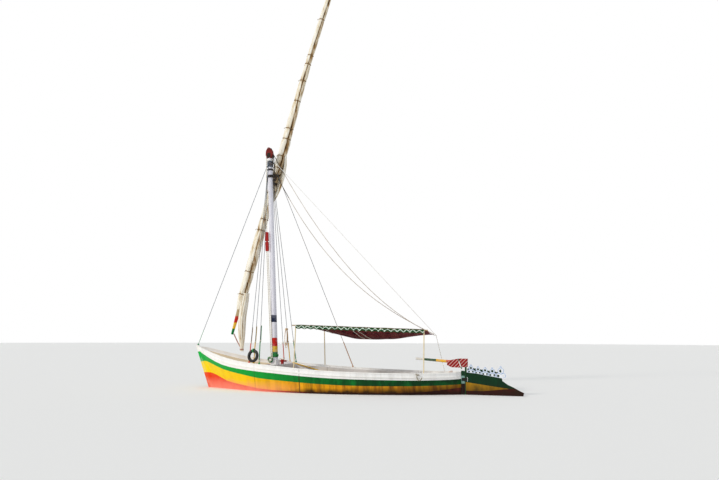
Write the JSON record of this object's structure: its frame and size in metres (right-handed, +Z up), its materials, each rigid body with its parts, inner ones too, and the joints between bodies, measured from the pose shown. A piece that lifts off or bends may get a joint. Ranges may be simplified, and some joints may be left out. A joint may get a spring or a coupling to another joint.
{
  "type": "felucca",
  "caption": "Small open lateen-rigged river sailing boat with raked mast, long yard with furled sail, sun awning, painted plank bands and a big hung rudder.",
  "frame": {"origin": "on the waterline, on the centreline, half way between stem head and sternpost", "axes": "+X aft, +Y starboard, +Z up"},
  "size_m": [11.4439, 2.936, 17.3943],
  "materials": {
    "hull_red": "worn gloss enamel",
    "hull_yellow": "worn gloss enamel",
    "hull_green": "worn gloss enamel",
    "hull_white": "worn gloss enamel",
    "deck_paint": "matt deck paint",
    "bare_wood": "weathered, oiled",
    "mast_white": "brushed enamel",
    "gear_red": "brushed enamel",
    "wire": "galvanised, dull",
    "rope": "laid fibre",
    "old_tyre": "worn rubber",
    "awning_cotton": "printed cotton",
    "sail_canvas": "cotton canvas",
    "iron": "painted iron"
  },
  "bodies": {
    "hull": {"awning_cloth": "awning_cotton", "awning_guy": "rope", "awning_poles": "mast_white", "awning_rails": "mast_white", "backstays": "wire", "benches": "bare_wood", "bitts": "gear_red", "bollards": "hull_white", "bottom_red": "hull_red", "bulkhead_aft": "hull_white", "bulkhead_fore": "hull_white", "coaming": "hull_white", "cockpit_sole": "bare_wood", "fall_block": "gear_red", "foredeck": "deck_paint", "forestay": "wire", "gudgeons": "iron", "gunwale": "hull_white", "halyard_fall": "rope", "keel": "hull_red", "mast": "mast_white", "mast_head": "gear_red", "mast_step": "mast_white", "oar": "bare_wood", "rub_rail": "hull_white", "runner": "wire", "shroud_rods_green": "hull_green", "shroud_rods_red": "gear_red", "shroud_rods_yellow": "hull_yellow", "shrouds_port": "wire", "shrouds_starboard": "wire", "side_decks": "hull_white", "stem": "hull_white", "stern_deck": "deck_paint", "sternpost": "hull_green", "strake_green": "hull_green", "strake_white": "hull_white", "strake_yellow": "hull_yellow", "tyre_fender": "old_tyre"},
    "rudder": {"rudder_stock": "hull_green", "rudder_blade": "hull_green", "rudder_crest": "hull_white", "tiller_head": "gear_red", "tiller": "hull_green"},
    "parrel": {"parrel": "iron", "halyard": "rope"},
    "yard": {"yard": "bare_wood", "furled_sail_lower": "sail_canvas", "furled_sail_upper": "sail_canvas"}
  },
  "joints": [
    {"name": "rudder_turn", "type": "hinge", "parent": "hull", "child": "rudder", "pos_m": [4.862, 0, 0], "axis": [0, 0, 1], "range_deg": [-30, 30]},
    {"name": "yard_slew", "type": "hinge", "parent": "hull", "child": "parrel", "pos_m": [-2.0398, 0, 7.45918], "axis": [-0.0514, 0, 0.9987], "range_deg": [0, 20]},
    {"name": "yard_peak", "type": "hinge", "parent": "parrel", "child": "yard", "pos_m": [-2.0398, 0.44, 7.45918], "axis": [0, 1, 0], "range_deg": [0, 35]}
  ]
}
